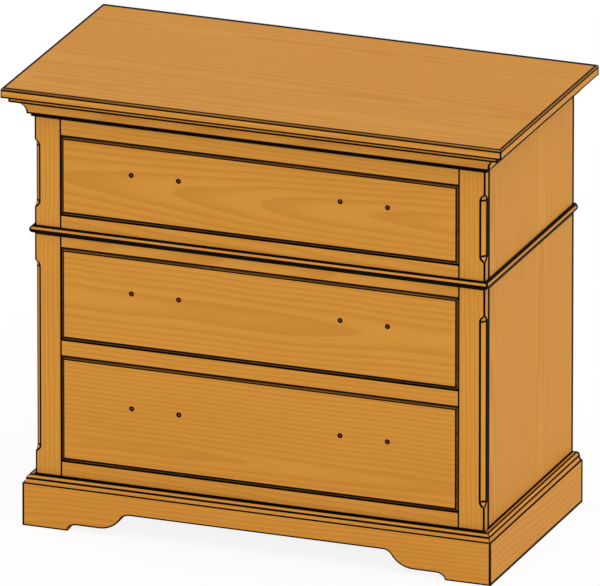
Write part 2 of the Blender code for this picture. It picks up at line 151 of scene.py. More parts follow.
STAVE = 0.205  # the widest board that the timber gave
LOG = 60.0  # how far apart along the timber two staves may come from
HEART_ASIDE = 0.22  # the width in which the heart of the tree lies, about the middle of a stave
HEART_BELOW = 0.03  # how far below the middle of a board it lies at least
HEART_DEEPER = 0.05  # and how much deeper it may lie
HEART_LEAN = 0.11  # the range of slopes at which it runs out of line along a board
RING_WANDER = 0.02  # how far the rings stray from true circles


def timber_grain(tree, ring_width):
    """Late wood, fibres, blotches and the tone of the stave, from 0 to 1, by a board's place in its timber."""
    along, across, depth = tree.attribute("timber", "Vector").parts()
    stave = tree.math("FLOOR", across / STAVE)
    chance = tree.node("ShaderNodeTexWhiteNoise", {"noise_dimensions": "1D"}, {"W": stave}, "Color").parts()
    log = along + chance[0] * LOG
    beside = across - (stave + 0.5) * STAVE + (chance[1] - 0.5) * HEART_ASIDE
    above = depth + HEART_BELOW + chance[2] * HEART_DEEPER + along * (chance[0] - 0.5) * HEART_LEAN
    from_heart = tree.joined(beside, above, 0.0)
    radius = tree.node("ShaderNodeVectorMath", {"operation": "LENGTH"}, {0: from_heart}, "Value")
    wander = streaks(log, across, depth, long_rate=1.9, cross_rate=6.0)
    growth = tree.math("FRACT", (radius + wander * RING_WANDER) / ring_width)
    late_wood = growth.step(0.25, 0.9) - growth.step(0.93, 1.0)
    fibres = streaks(log, across, depth, long_rate=6.0, cross_rate=420.0, detail=3.0, roughness=0.6)
    blotches = streaks(log, across, depth, long_rate=2.6, cross_rate=11.0)
    return late_wood, fibres, blotches, chance[1]


HONEY = (0.662, 0.299, 0.049, 1.0)
HONEY_LATE = (0.552, 0.222, 0.031, 1.0)
# Near black, for the glaze lines and for the painted shade in the drawer gaps, below the bead and round the bores.
GLAZE_AND_SHADE = (0.004, 0.0025, 0.0015, 1.0)
BAND_EDGE = 0.0003  # half the width over which a band of glaze fades out


def honey_finish(name, bands=()):
    """The honey stain, its satin lacquer and the dark glaze in the arrises; its near black also lies as painted
    shade in the gaps round the drawers, below the bead and round the bores. Bands are stretches round a moulding,
    in metres from the top of its outline, that are darkened as well, some of them partly as painted shade."""
    material, shader, tree = finish(name, roughness=0.42, specular=0.02)
    late_wood, fibres, blotches, stave_tone = timber_grain(tree, ring_width=0.0085)
    shade = late_wood * 0.36 + fibres * 0.6 + blotches * 0.28 + stave_tone * 0.16 - 0.2
    honey = shade.step(0.0, 1.0).blend(HONEY, HONEY_LATE)
    glazed = tree.attribute("arris")
    if bands:
        girth = tree.attribute("girth")
    for start, end in bands:
        begun = girth.step(start - BAND_EDGE, start + BAND_EDGE)
        ended = girth.step(end - BAND_EDGE, end + BAND_EDGE)
        glazed = tree.math("MAXIMUM", glazed, begun - ended)
    # Near black where the mask is: glaze lines on the arrises, and painted shade in the drawer gaps, under the
    # bead, at the cove's foot and round the bores.
    glaze = (glazed * (0.7 + fibres * 0.6)).step(0.04, 0.22)
    roughness = 0.34 + fibres * 0.12 + glaze * 0.14
    relief = late_wood * 0.4 + fibres * 0.6
    coat(shader, glaze.blend(honey, GLAZE_AND_SHADE), roughness, relief, strength=0.12, depth=0.0003)
    return material


honey_lacquer = honey_finish("honey_lacquer")

WELD = 0.00002  # points of a CAD mesh that lie closer than this are one point
SQUARE = 0.9999  # how nearly a face has to look along a line to count as square to it


def clean_copy(node):
    """A copy of a CAD piece with its triangles joined into whole faces."""
    shape = bmesh.new()
    shape.from_mesh(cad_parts[node].data)
    bmesh.ops.remove_doubles(shape, verts=shape.verts, dist=WELD)
    bmesh.ops.dissolve_limit(shape, angle_limit=math.radians(0.5), verts=shape.verts, edges=shape.edges)
    return shape


def sharp(edge):
    return edge.calc_face_angle(0) > math.radians(32)


def square(face):
    return max(abs(part) for part in face.normal) > SQUARE


def looks_along(face, ways):
    """Whether a face looks straight along one of the axes in a name such as X or XY, one way along it, as in +X,
    or along a vector."""
    if isinstance(ways, Vector):
        return face.normal.dot(ways) > SQUARE
    sign = {"+": 1.0, "-": -1.0}.get(ways[0])
    parts = [face.normal["XYZ".index(axis)] for axis in ways.strip("+-")]
    return max(part * sign if sign else abs(part) for part in parts) > SQUARE


def end_strips(node, *lines):
    """Strips of glaze at the ends of a piece; those that run into the gaps round the drawers are painted shade.
    Each line is an axis, the widths at its low and its high end, and the ways that the darkened faces look."""
    strips = []
    for axis, low_width, high_width, ways in lines:
        low, high = (corner["XYZ".index(axis)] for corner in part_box(node))
        if low_width:
            strips.append((axis, low, low + low_width, ways))
        if high_width:
            strips.append((axis, high - high_width, high, ways))
    return strips


CRISP = 0.8  # the profile of an eased arris that keeps most of its corner
EASE_FACETS = 3
CUT_SNAP = 0.000001  # a point that lies this close to a cut is on it
FADE = 0.0020  # the length over which a strip of glaze fades at its two heights
RIM = 0.004  # a rounded rim lies within this of two sides of its piece


def worked_copy(node, *passes, clamp=True, rounds=0.0, strips=(), border=0.0):
    """A copy of a CAD piece with its edges eased. Each pass is an ease, its profile and a test that picks edges.
    The arris attribute is 1 where an edge was eased, the value of rounds on rounded rims and 0 on flat faces.
    Each strip is a stretch of an axis and the ways that the flat faces look which are darkened there, perhaps only
    between two heights; those in the gaps round the drawers and below the bead are painted shade. A border is the
    width of a glazed line just inside the rim of the front."""
    shape = clean_copy(node)
    for face in shape.faces:
        face.smooth = not square(face)
    eased = shape.faces.layers.int.new("eased")
    for ease, profile, picked in passes:
        fresh = [edge for edge in shape.edges if not all(face[eased] for face in edge.link_faces)]
        shavings = bmesh.ops.bevel(
            shape,
            geom=[edge for edge in fresh if picked(edge)],
            offset=ease,
            segments=EASE_FACETS,
            profile=profile,
            affect="EDGES",
            clamp_overlap=clamp,
        )
        for face in shavings["faces"]:
            face[eased] = 1
            face.smooth = True
    if border:
        front = max(shape.faces, key=lambda face: face.calc_area() * -face.normal.y)
        rim = bmesh.ops.inset_region(
            shape, faces=[front], thickness=border, use_even_offset=True, use_boundary=True
        )
        for face in rim["faces"]:
            face[eased] = 1
    for axis, start, end, ways, *heights in strips:
        cuts = [(axis, start), (axis, (start + end) / 2), (axis, end)]
        for foot, head in heights:
            cuts += [("Z", foot), ("Z", foot + FADE), ("Z", head - FADE), ("Z", head)]
        for across, place in cuts:
            cut = Vector([float(name == across) for name in "XYZ"])
            whole = [*shape.verts, *shape.edges, *shape.faces]
            bmesh.ops.bisect_plane(shape, geom=whole, dist=CUT_SNAP, plane_co=cut * place, plane_no=cut)
        for face in shape.faces:
            middle = face.calc_center_median()
            within = all(foot < middle.z < head for foot, head in heights)
            if within and start < middle["XYZ".index(axis)] < end and looks_along(face, ways):
                face[eased] = 1
    mark = shape.verts.layers.float.new("arris")
    low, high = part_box(node)
    for vert in shape.verts:
        vert.co = [min(max(part, least), most) for part, least, most in zip(vert.co, low, high)]
        to_sides = [min(part - least, most - part) for part, least, most in zip(vert.co, low, high)]
        at_rim = sum(gap < RIM for gap in to_sides) > 1
        bare = [face for face in vert.link_faces if not face[eased]]
        on_round = at_rim and not any(square(face) for face in bare)
        vert[mark] = (rounds if on_round else 0.0) if bare else 1.0
    shape.faces.layers.int.remove(eased)
    mesh = bpy.data.meshes.new(node + "_dressed")
    shape.to_mesh(mesh)
    shape.free()
    mesh.set_sharp_from_angle(angle=math.radians(50))
    return mesh


SAWN_ACROSS = 0.8  # how nearly a face has to look along the grain to show the sawn ends of the fibres


def lay_grain(mesh, order, board):
    """Gives each point its place in the timber. Order names the axes along, across and through the board, and each
    number of a board stands for another stave."""
    places = np.empty(len(mesh.vertices) * 3, np.float32)
    mesh.vertices.foreach_get("co", places)
    places = places.reshape(-1, 3)[:, ["XYZ".index(axis) for axis in order]]
    places = places - (places.min(axis=0) + places.max(axis=0)) / 2
    places += (0.0, (board + 0.5) * STAVE, 0.0)
    timber = mesh.attributes.new("timber", "FLOAT_VECTOR", "POINT")
    timber.data.foreach_set("vector", places.astype(np.float32).ravel())
    along = "XYZ".index(order[0])
    sawn = mesh.attributes.new("end_grain", "FLOAT", "FACE")
    sawn.data.foreach_set("value", [float(abs(face.normal[along]) > SAWN_ACROSS) for face in mesh.polygons])


def dress(node, mesh, material, body):
    """Puts a finished mesh on a body, in the place of its CAD piece where it has one."""
    mesh.materials.clear()
    mesh.materials.append(material)
    piece = bpy.data.objects.new(mesh.name, mesh)
    bpy.context.scene.collection.objects.link(piece)
    if node:
        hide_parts(node)
    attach(piece, body)


OUTER_FACE = 0.437  # further out than this, a side panel has only its outer face
BEAD_FOOT = 0.56356  # the height where the foot of the bead meets the case
PLINTH_TOP = 0.09684  # the height where the top of the plinth meets it
PANEL_ENDS = ("Y", 0.0052, 0.0105, "X")  # glaze along the front and the back
PANEL_LINES_AND_BEAD_SHADE = (  # glaze along the plinth, and along the bead a band whose wider part below the bead is painted shade
    ("Z", BEAD_FOOT - 0.0062, BEAD_FOOT + 0.0030, "X"),
    ("Z", PLINTH_TOP - 0.0030, PLINTH_TOP + 0.0030, "X"),
)


def outer_arris(edge):
    return sharp(edge) and all(abs(vert.co.x) > OUTER_FACE for vert in edge.verts)


for board, node in enumerate(("side_panel_left", "side_panel_right")):
    strips = [*end_strips(node, PANEL_ENDS), *PANEL_LINES_AND_BEAD_SHADE]
    mesh = worked_copy(node, (0.0012, CRISP, outer_arris), (0.0010, CRISP, sharp), strips=strips)
    lay_grain(mesh, "ZYX", 3 + 4 * board)
    dress(node, mesh, honey_lacquer, "case")

# Face frame. Two stiles and four rails of solid wood, joined flush, with the glaze left in the joint lines.
# Each stile's outer corner has two stopped chamfers, which end in a scoop left by the cutter.

CASE_SIDE = 0.43815  # how far out the case stands to the left and right
CASE_FRONT = 0.2079625  # how far out it stands to the front
CHAMFER = 0.0102  # how much a chamfer takes off the corner each way
CHAMFER_FLATS = ((0.15251, 0.49964), (0.62516, 0.73224))  # the heights between which each chamfer is flat
FLAT_END = 0.0004  # points within this height of the end of a flat lie on it
JOINT = 0.38735  # where the stiles and the rails meet, to the left and right
NEAR_JOINT = 0.0014  # points within this of it lie on the joint
FRAME_LINES_AND_BEAD_SHADE = (  # glaze along the plinth, and along the bead a band whose part below the bead is painted shade
    ("Z", BEAD_FOOT - 0.0028, BEAD_FOOT + 0.0020, "Y"),
    ("Z", PLINTH_TOP - 0.0024, PLINTH_TOP + 0.0024, "Y"),
)
STILE_REAR = ("Y", 0.0, 0.0052, "X")  # glaze where a stile meets its side panel
GAP_SHADE_DEPTH = 0.0100  # how far painted shade reaches into the gaps round the drawers
OUTER_LINE = 0.0036  # how wide it lies along the outer edge of a stile's face
LEFT_CHAMFER = ("X", 0.0042, 0.0, Vector((-1.0, -1.0, 0.0)).normalized())  # glaze on the left chamfers
BEHIND_CHAMFER = (0.0095, 0.0145)  # the glazed stretch beside a chamfer, measured from the front
PAST_CHAMFER = 0.0040  # how far that stretch goes on past the flat


def stile_line(edge):
    """The arrises, and the lines across a chamfer where its scoops begin."""
    points = [vert.co for vert in edge.verts]
    cut_off = all(abs(point.x) > CASE_SIDE - CHAMFER and point.y < CHAMFER - CASE_FRONT for point in points)
    ends = [height for flat in CHAMFER_FLATS for height in flat]
    level = any(all(abs(point.z - end) < FLAT_END for point in points) for end in ends)
    return cut_off and level or sharp(edge)


def joint_arris(edge):
    """The arrises of a stile or a rail along the joints between them."""
    first, second = (vert.co.x for vert in edge.verts)
    return sharp(edge) and abs(abs(first) - JOINT) < NEAR_JOINT and abs(first - second) < NEAR_JOINT


for board, (node, inward) in enumerate((("stile_left", "+X"), ("stile_right", "-X")), start=11):
    # The strip along the drawer opening is painted shade in the gap round the drawers.
    strips = [*FRAME_LINES_AND_BEAD_SHADE, *end_strips(node, STILE_REAR, ("Y", GAP_SHADE_DEPTH, 0.0, inward))]
    if node == "stile_left":
        strips += end_strips(node, ("X", OUTER_LINE, 0.0, "Y"), LEFT_CHAMFER)
    else:
        strips += end_strips(node, ("X", 0.0, OUTER_LINE, "Y"))
    start, end = (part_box(node)[0][1] + depth for depth in BEHIND_CHAMFER)
    for foot, head in CHAMFER_FLATS:
        strips.append(("Y", start, end, "X", (foot - PAST_CHAMFER, head + PAST_CHAMFER)))
    passes = (0.0018, CRISP, joint_arris), (0.0024, CRISP, stile_line)
    mesh = worked_copy(node, *passes, clamp=False, strips=strips)
    lay_grain(mesh, "ZXY", board)
    dress(node, mesh, honey_lacquer, "case")


def rail_arris(edge):
    return sharp(edge) and not joint_arris(edge)


def rail_upper(edge):
    return rail_arris(edge) and any(face.normal.z > 0.9 for face in edge.link_faces)


for board, node in enumerate(("bottom_rail", "lower_rail", "waist_rail", "top_rail"), start=15):
    # The strips on the faces above and below the drawers are painted shade in the gaps round them.
    strips = [*end_strips(node, ("Y", GAP_SHADE_DEPTH, 0.0, "Z")), *FRAME_LINES_AND_BEAD_SHADE]
    passes = (0.0014, CRISP, joint_arris), (0.0015, CRISP, rail_upper), (0.0029, CRISP, rail_arris)
    mesh = worked_copy(node, *passes, clamp=False, strips=strips)
    lay_grain(mesh, "XZY", board)
    dress(node, mesh, honey_lacquer, "case")

# Rear rails and slide posts. Plain pale hardwood, planed and sealed, glued between the side panels.
# The posts take the rear ends of the drawer slides.

PALE = (0.690, 0.490, 0.275, 1.0)
PALE_LATE = (0.540, 0.340, 0.165, 1.0)
PALE_END = (0.400, 0.230, 0.095, 1.0)  # sawn ends drink more of the sealer and are darker
PALE_END_LATE = (0.260, 0.135, 0.050, 1.0)

pale_board, shader, tree = finish("pale_board", roughness=0.55, specular=0.15)
late_wood, fibres, blotches, stave_tone = timber_grain(tree, ring_width=0.0066)
shade = late_wood * 0.45 + fibres * 0.55 + blotches * 0.3 + stave_tone * 0.2 - 0.25
shade = shade.step(0.0, 1.0)
pale = tree.attribute("end_grain").blend(shade.blend(PALE, PALE_LATE), shade.blend(PALE_END, PALE_END_LATE))
relief = late_wood * 0.4 + fibres * 0.6
coat(shader, pale, 0.5 + fibres * 0.14, relief, strength=0.15, depth=0.0003)

REAR_BOARDS = (
    ("rear_top_rail", "XZY"), ("rear_bottom_rail", "XZY"), ("rear_post_left", "ZYX"), ("rear_post_right", "ZYX")
)

for board, (node, order) in enumerate(REAR_BOARDS, start=21):
    mesh = worked_copy(node, (0.0006, CRISP, sharp))
    lay_grain(mesh, order, board)
    dress(node, mesh, pale_board, "case")

# Back panel and case bottom. Sealed plywood, with rotary-cut veneer on the faces and the plies on the edges.
# The back sits in the rabbets and is held with countersunk screws all round.

VENEER = (0.640, 0.420, 0.205, 1.0)
VENEER_LATE = (0.500, 0.290, 0.120, 1.0)
CROSS_PLY = (0.330, 0.175, 0.070, 1.0)
PLY_PAIR = 0.0026  # the thickness of a ply and the one that crosses it

plywood, shader, tree = finish("plywood", roughness=0.6, specular=0.1)
late_wood, fibres, blotches = timber_grain(tree, ring_width=0.019)[:3]
depth = tree.attribute("timber", "Vector").parts()[2]
ply = tree.math("SINE", depth * (math.tau / PLY_PAIR)).step(-0.25, 0.25)
shade = late_wood * 0.45 + fibres * 0.5 + blotches * 0.45 - 0.2
veneer = shade.step(0.0, 1.0).blend(VENEER, VENEER_LATE)
plies = ((1 - ply) * 0.45).blend(veneer, CROSS_PLY)
relief = late_wood * 0.3 + fibres * 0.7
coat(shader, plies, 0.54 + fibres * 0.14, relief, strength=0.15, depth=0.0003)

HEAD_STANDS = 0.0005  # how far the screw heads stand out of the back
back_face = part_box("back_panel")[1][1] - HEAD_STANDS

for board, (node, order) in enumerate((("case_bottom", "XYZ"), ("back_panel", "ZXY")), start=31):
    mesh = worked_copy(node, (0.0004, CRISP, sharp))
    if node == "back_panel":
        for vert in mesh.vertices:
            vert.co.y = min(vert.co.y, back_face)
    lay_grain(mesh, order, board)
    dress(node, mesh, plywood, "case")

ZINC = (0.52, 0.53, 0.55, 1.0)
ZINC_DULL = (0.38, 0.38, 0.385, 1.0)

zinc_plate, shader, tree = finish("zinc_plate", roughness=0.34, specular=0.5, metallic=1.0)
along, across, depth = tree.attribute("timber", "Vector").parts()
drawn_lines = streaks(along, across, depth, long_rate=9.0, cross_rate=2600.0)
cloud = streaks(along, across, depth, long_rate=40.0, cross_rate=90.0, detail=3.0)
zinc = (drawn_lines * 0.4 + cloud * 0.6).step(0.25, 0.75).blend(ZINC, ZINC_DULL)
roughness = 0.24 + drawn_lines * 0.1 + cloud * 0.12
coat(shader, zinc, roughness, drawn_lines, strength=0.1, depth=0.0001)


def new_tree(name, inputs):
    """An empty Geometry Nodes tree with named inputs, and the values of those inputs."""
    group = bpy.data.node_groups.new(name, "GeometryNodeTree")
    for label, kind in inputs:
        group.interface.new_socket(label, in_out="INPUT", socket_type="NodeSocket" + kind)
    group.interface.new_socket("Result", in_out="OUTPUT", socket_type="NodeSocketGeometry")
    source = group.nodes.new("NodeGroupInput")
    return Value(group), [Value(group, source.outputs[label]) for label, kind in inputs]


def close_tree(tree, geometry, material):
    """Ends a tree: its instances become plain faces of the given material."""
    solid = tree.node("GeometryNodeRealizeInstances", {}, {0: geometry})
    finished = tree.node("GeometryNodeSetMaterial", {}, {"Geometry": solid, "Material": material})
    tree.node("NodeGroupOutput", {}, {"Result": finished})
    return tree.tree


def named(tree, name, kind):
    """The values of a named attribute in a Geometry Nodes tree."""
    return tree.node("GeometryNodeInputNamedAttribute", {"data_type": kind}, {"Name": name}, "Attribute")


HEAD_SIDES = 18
HEAD_TAPER = 0.8  # the width of a head's top as a share of its foot's
SLOT_LENGTH = 1.1  # the length of the cross slot as a share of the head's radius
SLOT_WIDTH = 0.26  # its width as a share of that radius
SLOT_MIDDLE = 0.85  # the height of its middle as a share of the head's height
QUARTER_TURN = math.pi / 2

tree, (places, radius, height, steel) = new_tree(
    "screw_heads",
    (("Places", "Geometry"), ("Head radius", "Float"), ("Head height", "Float"), ("Steel", "Material")),
)
head = tree.node(
    "GeometryNodeMeshCone",
    {},
    {"Vertices": HEAD_SIDES, "Radius Top": radius * HEAD_TAPER, "Radius Bottom": radius, "Depth": height},
    "Mesh",
)
lifted = tree.joined(0.0, 0.0, height * SLOT_MIDDLE)
cut = {"operation": "DIFFERENCE", "solver": "EXACT"}
for length, width in ((SLOT_LENGTH, SLOT_WIDTH), (SLOT_WIDTH, SLOT_LENGTH)):
    size = tree.joined(radius * length, radius * width, height)
    bit = tree.node("GeometryNodeMeshCube", {}, {"Size": size}, "Mesh")
    bit = tree.node("GeometryNodeTransform", {}, {"Geometry": bit, "Translation": lifted})
    head = tree.node("GeometryNodeMeshBoolean", cut, {0: head, 1: bit}, "Mesh")
facing = named(tree, "facing", "FLOAT_VECTOR")
turned = tree.node("FunctionNodeAlignRotationToVector", {"axis": "Z"}, {"Vector": facing}, "Rotation")
heads = tree.node("GeometryNodeInstanceOnPoints", {}, {"Points": places, "Instance": head, "Rotation": turned})
least_to_most = {2: 0.0, 3: QUARTER_TURN, "Seed": 11}
driven = tree.node("FunctionNodeRandomValue", {"data_type": "FLOAT"}, least_to_most, 1)
driven = tree.joined(0.0, 0.0, driven)
heads = tree.node("GeometryNodeRotateInstances", {}, {"Instances": heads, "Rotation": driven})
screw_heads = close_tree(tree, heads, steel)


def grown(name, group, seed, settings):
    """Runs a tree on a seed mesh and gives what grew as a plain mesh."""
    grower = bpy.data.objects.new(name, seed)
    bpy.context.scene.collection.objects.link(grower)
    modifier = grower.modifiers.new(name, "NODES")
    modifier.node_group = group
    for socket in group.interface.items_tree:
        if socket.in_out == "INPUT" and socket.name in settings:
            modifier[socket.identifier] = settings[socket.name]
    mesh = bpy.data.meshes.new_from_object(grower.evaluated_get(bpy.context.evaluated_depsgraph_get()))
    bpy.data.objects.remove(grower)
    mesh.name = name
    return mesh


def drive_screws(name, body, spots, radius, height):
    """Screw heads on the given spots. Each spot is a place and the way that its screw faces."""
    seed = bpy.data.meshes.new(name + "_spots")
    seed.from_pydata([place for place, way in spots], [], [])
    layer = seed.attributes.new("facing", "FLOAT_VECTOR", "POINT")
    layer.data.foreach_set("vector", [part for place, way in spots for part in way])
    sizes = {"Head radius": radius, "Head height": height, "Steel": zinc_plate}
    mesh = grown(name, screw_heads, seed, sizes)
    lay_grain(mesh, "YZX", 0)
    dress(None, mesh, zinc_plate, body)


BACKWARD = (0, 1, 0)
SIDE_SCREWS = [0.085 + 0.0995 * step for step in range(8)]  # heights of the screws into a side panel
RAIL_SCREWS = [0.158 * step for step in range(-2, 3)]  # places of those into a rail, from its middle

edge_x = (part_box("back_panel")[1][0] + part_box("rear_top_rail")[1][0]) / 2
spots = [((side * edge_x, back_face, z), BACKWARD) for side in (-1, 1) for z in SIDE_SCREWS]
for rail in ("rear_top_rail", "rear_bottom_rail"):
    low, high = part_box(rail)
    spots += [((x, back_face, (low[2] + high[2]) / 2), BACKWARD) for x in RAIL_SCREWS]
drive_screws("back_screws", "case", spots, radius=0.0036, height=HEAD_STANDS * 0.9)

# Drawer slides. Full-extension slides of zinc-plated steel: a track on the case, a middle member and a runner.
# The middle member and the runner have a groove along each flange, where short rows of balls run.
# Each track is screwed through its tab to the back of a stile, and each runner to the side of a drawer box.

SHEET = 0.0012  # the thickness of the web
FLANGE = 0.003  # the thickness of a flange
BALL = 0.00095  # the radius of a ball
BALL_SUNK = 0.0007  # how far the middle of a ball lies below the face of its flange
BALL_SPACING = 0.006
BALL_ROW = (0.006, 0.126)  # where a row of balls begins and ends, from the rear of its member
GROOVE = 0.00115  # the radius of a groove
GROOVE_IN = 0.0048  # from the back of the web to the groove
GROOVE_FACETS = 8


def raced_member(node, body, web_outside):
    """A slide member rolled from sheet, in the box of its CAD piece. Gives the lines that its balls lie on."""
    low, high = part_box(node)
    outer, inner = (high[0], low[0]) if high[0] > 0 else (low[0], high[0])
    back, edge = (outer, inner) if web_outside else (inner, outer)
    reach = abs(edge - back)
    half = (high[2] - low[2]) / 2
    middle = (high[2] + low[2]) / 2
    sink = math.asin(BALL_SUNK / GROOVE)
    sweep = math.pi + 2 * sink
    arc = [math.pi - sink + sweep * step / GROOVE_FACETS for step in range(GROOVE_FACETS + 1)]
    upper = [(SHEET, half - FLANGE), (reach, half - FLANGE), (reach, half)]
    upper += [(GROOVE_IN - GROOVE * math.cos(turn), half - BALL_SUNK + GROOVE * math.sin(turn)) for turn in arc]
    upper.append((0.0, half))
    section = upper + [(u, -z) for u, z in reversed(upper)]
    shape = bmesh.new()
    rings = []
    for y in (low[1], high[1]):
        rings.append([shape.verts.new((back + (edge - back) / reach * u, y, middle + z)) for u, z in section])
    for index in range(len(section)):
        following = (index + 1) % len(section)
        corners = rings[0][index], rings[0][following], rings[1][following], rings[1][index]
        shape.faces.new(corners).smooth = True
    for ring in rings:
        shape.faces.new(ring)
    bmesh.ops.recalc_face_normals(shape, faces=shape.faces)
    mesh = bpy.data.meshes.new(node + "_dressed")
    shape.to_mesh(mesh)
    shape.free()
    mesh.set_sharp_from_angle(angle=math.radians(40))
    lay_grain(mesh, "YZX", 0)
    dress(node, mesh, zinc_plate, body)
    x = back + (edge - back) / reach * GROOVE_IN
    levels = (middle + half - BALL_SUNK, middle + BALL_SUNK - half)
    return [[(x, high[1] - gap, level) for gap in BALL_ROW] for level in levels]


tree, (rows, radius, spacing, steel) = new_tree(
    "ball_rows", (("Rows", "Geometry"), ("Ball radius", "Float"), ("Spacing", "Float"), ("Steel", "Material"))
)
path = tree.node("GeometryNodeMeshToCurve", {}, {"Mesh": rows}, "Curve")
path = tree.node("GeometryNodeResampleCurve", {"mode": "LENGTH"}, {"Curve": path, "Length": spacing}, "Curve")
ball = tree.node("GeometryNodeMeshUVSphere", {}, {"Segments": 8, "Rings": 5, "Radius": radius}, "Mesh")
ball = tree.node("GeometryNodeSetShadeSmooth", {}, {"Geometry": ball})
balls = tree.node("GeometryNodeInstanceOnPoints", {}, {"Points": path, "Instance": ball})
ball_rows = close_tree(tree, balls, steel)

TAB_MIDDLE = 0.40005  # how far out the tabs' screws sit
TAB_SCREWS = (-0.008, 0.008)  # their heights from the middle of a track
RUNNER_END = 0.035  # from the end of a runner to its first screw

for drawer in ("top", "middle", "bottom"):
    for member, body, web_outside in (
        ("middle", drawer + "_slide_middles", True), ("runner", drawer + "_drawer", False)
    ):
        lines = []
        for hand in ("left", "right"):
            lines += raced_member(f"{drawer}_slide_{member}_{hand}", body, web_outside)
        ends = [end for line in lines for end in line]
        seed = bpy.data.meshes.new(f"{drawer}_{member}_ball_lines")
        seed.from_pydata(ends, [(index, index + 1) for index in range(0, len(ends), 2)], [])
        sizes = {"Ball radius": BALL, "Spacing": BALL_SPACING, "Steel": zinc_plate}
        mesh = grown(f"{drawer}_{member}_balls", ball_rows, seed, sizes)
        lay_grain(mesh, "YZX", 0)
        dress(None, mesh, zinc_plate, body)
    tab_spots, runner_spots = [], []
    for hand, side in (("left", -1), ("right", 1)):
        node = f"{drawer}_slide_track_{hand}"
        mesh = worked_copy(node, (0.00022, CRISP, sharp))
        lay_grain(mesh, "YZX", 0)
        dress(node, mesh, zinc_plate, "case")
        low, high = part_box(node)
        middle = (low[2] + high[2]) / 2
        for rise in TAB_SCREWS:
            tab_spots.append(((side * TAB_MIDDLE, low[1] + SHEET, middle + rise), BACKWARD))
        low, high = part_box(f"{drawer}_slide_runner_{hand}")
        middle = (low[2] + high[2]) / 2
        web = min(abs(low[0]), abs(high[0])) + SHEET
        for y in (low[1] + RUNNER_END, (low[1] + high[1]) / 2, high[1] - RUNNER_END):
            runner_spots.append(((side * web, y, middle), (side, 0, 0)))
    drive_screws(drawer + "_tab_screws", "case", tab_spots, radius=0.0034, height=0.0014)
    drive_screws(drawer + "_runner_screws", drawer + "_drawer", runner_spots, radius=0.0036, height=0.0015)

# Drawer boxes. Pale hardwood boards dovetailed at the corners, with a plywood bottom let into grooves.
# They are sealed with a matt lacquer. Four screws from inside hold each drawer front to its box.

BOX_BOARDS = (("box_front", "XZY"), ("box_back", "XZY"), ("box_left", "YZX"), ("box_right", "YZX"))
FRONT_SCREWS = [(x, rise) for x in (-0.3, 0.3) for rise in (-0.032, 0.032)]  # places from the middle of the board

for board, drawer in enumerate(("top", "middle", "bottom")):
    for index, (name, order) in enumerate(BOX_BOARDS):
        node = f"{drawer}_{name}"
        mesh = worked_copy(node, (0.0003, CRISP, sharp))
        lay_grain(mesh, order, 51 + 4 * board + index)
        dress(node, mesh, pale_board, drawer + "_drawer")
    node = drawer + "_drawer_bottom"
    mesh = worked_copy(node, (0.0003, CRISP, sharp))
    lay_grain(mesh, "XYZ", 65 + board)
    dress(node, mesh, plywood, drawer + "_drawer")
    low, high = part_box(drawer + "_box_front")
    spots = [((x, high[1], (low[2] + high[2]) / 2 + rise), BACKWARD) for x, rise in FRONT_SCREWS]
    drive_screws(drawer + "_front_screws", drawer + "_drawer", spots, radius=0.0042, height=0.0016)

# Drawer fronts. One wide board each, with a small round worked along all four edges of the face.
# They are bored for two-bolt pulls, which were never fitted, and the wide eased rim round each hole is painted near
# black, partly as glaze and partly as painted shade that widens the dark of the bore.

FRONT_ENDS = ("X", 0.0048, 0.0058, "Y"), ("Z", 0.0066, 0.0050, "Y")  # the glaze along the four sides
ROUND = 0.5  # the profile of an ease that is a plain round
LONG_EDGE = 0.02  # only edges longer than this can be the line of a round
BORE_FACET = 0.004  # the edges of a bore's rim are shorter than this
FACE_SKIN = 0.0001625  # points within this of the front lie on its face


def round_line(edge):
    """The arrises, and the lines where a flat face runs into the round along its edge."""
    flats = [square(face) for face in edge.link_faces]
    return sharp(edge) or sorted(flats) == [False, True] and edge.calc_length() > LONG_EDGE


def bore_rim(edge):
    on_face = all(vert.co.y < FACE_SKIN - CASE_FRONT for vert in edge.verts)
    return sharp(edge) and edge.calc_length() < BORE_FACET and on_face


for board, drawer in enumerate(("top", "middle", "bottom"), start=71):
    node = drawer + "_drawer_front"
    # The wide rim eased round each bore is painted near black: painted shade that makes the dark of the hole look
    # wider.
    passes = (0.0025, CRISP, bore_rim), (0.0009, ROUND, round_line)
    strips = end_strips(node, *FRONT_ENDS)
    mesh = worked_copy(node, *passes, clamp=False, rounds=0.16, strips=strips)
    lay_grain(mesh, "XZY", board)
    dress(node, mesh, honey_lacquer, drawer + "_drawer")

# Top. A solid board of three staves, rounded along its upper edge at the front and both sides.
# It is screwed down from inside through the rails.

TOP_ENDS = (  # the glaze along the edges of the upper and lower face, and of the front, back and sides
    ("Y", 0.0090, 0.0110, "Z"),
    ("X", 0.0074, 0.0064, "Z"),
    ("Z", 0.0036, 0.0058, "XY"),
    ("X", 0.0028, 0.0028, "Y"),
    ("Y", 0.0036, 0.0070, "X"),
)
TOP_FOOT = 0.8323  # just above the lower face of the top


def lower_arris(edge):
    return sharp(edge) and all(vert.co.z < TOP_FOOT for vert in edge.verts)


passes = (0.0012, CRISP, lower_arris), (0.0009, ROUND, round_line)
strips = end_strips("top_board", *TOP_ENDS)
mesh = worked_copy("top_board", *passes, clamp=False, rounds=0.14, strips=strips)
lay_grain(mesh, "XYZ", 81)
dress("top_board", mesh, honey_lacquer, "case")

# Mouldings. A cove under the top, a half-round bead at the waist and a plinth with an ogee on its upper edge.
# Each is planed or routed in one length, mitred at the front corners, and glued and pinned to the case.
# The front plinth is sawn to a scroll at each foot.


def stored(tree, geometry, name, kind, domain, value):
    """A tree's geometry with one more named attribute."""
    settings = {"data_type": kind, "domain": domain}
    inputs = {"Geometry": geometry, "Name": name, "Value": value}
    return tree.node("GeometryNodeStoreNamedAttribute", settings, inputs)


LAST_RING = 3  # a run has four rings of points: two ends, and the edges of the glaze beside them

